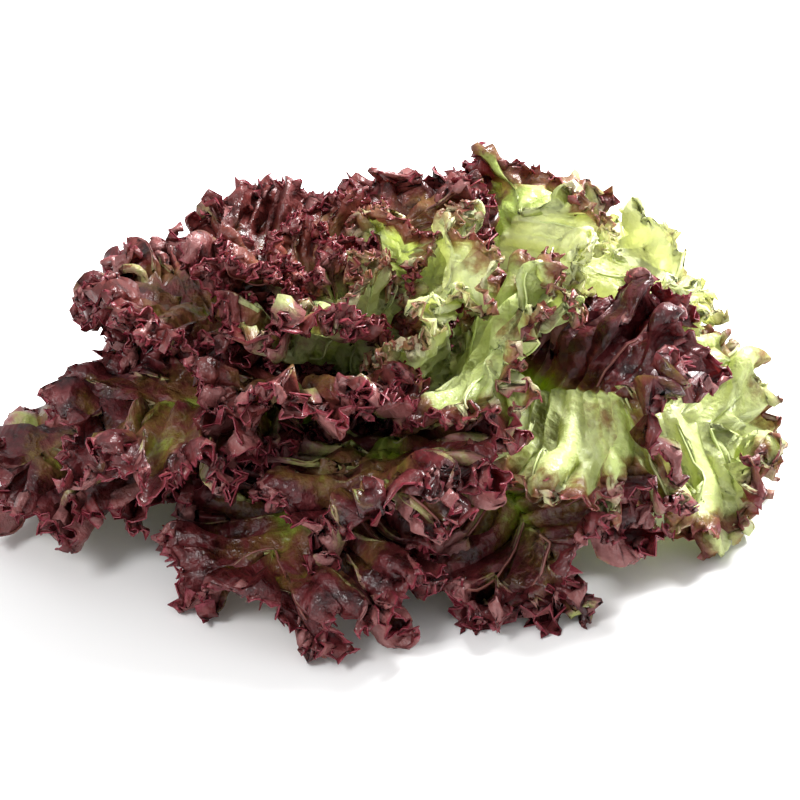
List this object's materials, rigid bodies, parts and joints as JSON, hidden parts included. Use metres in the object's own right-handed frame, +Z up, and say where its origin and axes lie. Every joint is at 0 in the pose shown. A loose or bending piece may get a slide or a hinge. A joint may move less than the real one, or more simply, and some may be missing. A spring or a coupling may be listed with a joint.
{
  "type": "red leaf lettuce",
  "caption": "Cut head of frilled red leaf lettuce: ruffled, toothed leaves in whorls round a short cone-shaped stem, lying on its outer leaves.",
  "frame": {"origin": "on the table, under the middle of the head's bounding box", "axes": "+X to the right of the picture and along the head's longest extent, +Y away from its camera, +Z up from the table"},
  "size_m": [0.2838, 0.2391, 0.119],
  "materials": {
    "outer_leaf": "waxy dark maroon leaf, moist, satin",
    "middle_leaf": "waxy red-brown leaf, lime green towards its base, satin",
    "heart_leaf": "young dusky red leaf, lime green towards its base, satin",
    "stem": "pale cut vegetable flesh, moist"
  },
  "bodies": {
    "root": {"leaf_01": "outer_leaf", "leaf_02": "outer_leaf", "leaf_03": "outer_leaf", "leaf_04": "outer_leaf", "leaf_05": "outer_leaf", "leaf_06": "outer_leaf", "leaf_07": "outer_leaf", "leaf_08": "outer_leaf", "leaf_09": "outer_leaf", "leaf_10": "outer_leaf", "leaf_11": "outer_leaf", "leaf_12": "outer_leaf", "leaf_13": "outer_leaf", "leaf_14": "middle_leaf", "leaf_15": "middle_leaf", "leaf_16": "middle_leaf", "leaf_17": "middle_leaf", "leaf_18": "middle_leaf", "leaf_19": "middle_leaf", "leaf_20": "middle_leaf", "leaf_21": "middle_leaf", "leaf_22": "middle_leaf", "leaf_23": "heart_leaf", "leaf_24": "heart_leaf", "leaf_25": "heart_leaf", "leaf_26": "heart_leaf", "leaf_27": "heart_leaf", "leaf_28": "heart_leaf", "leaf_29": "heart_leaf", "stem": "stem"}
  },
  "joints": []
}
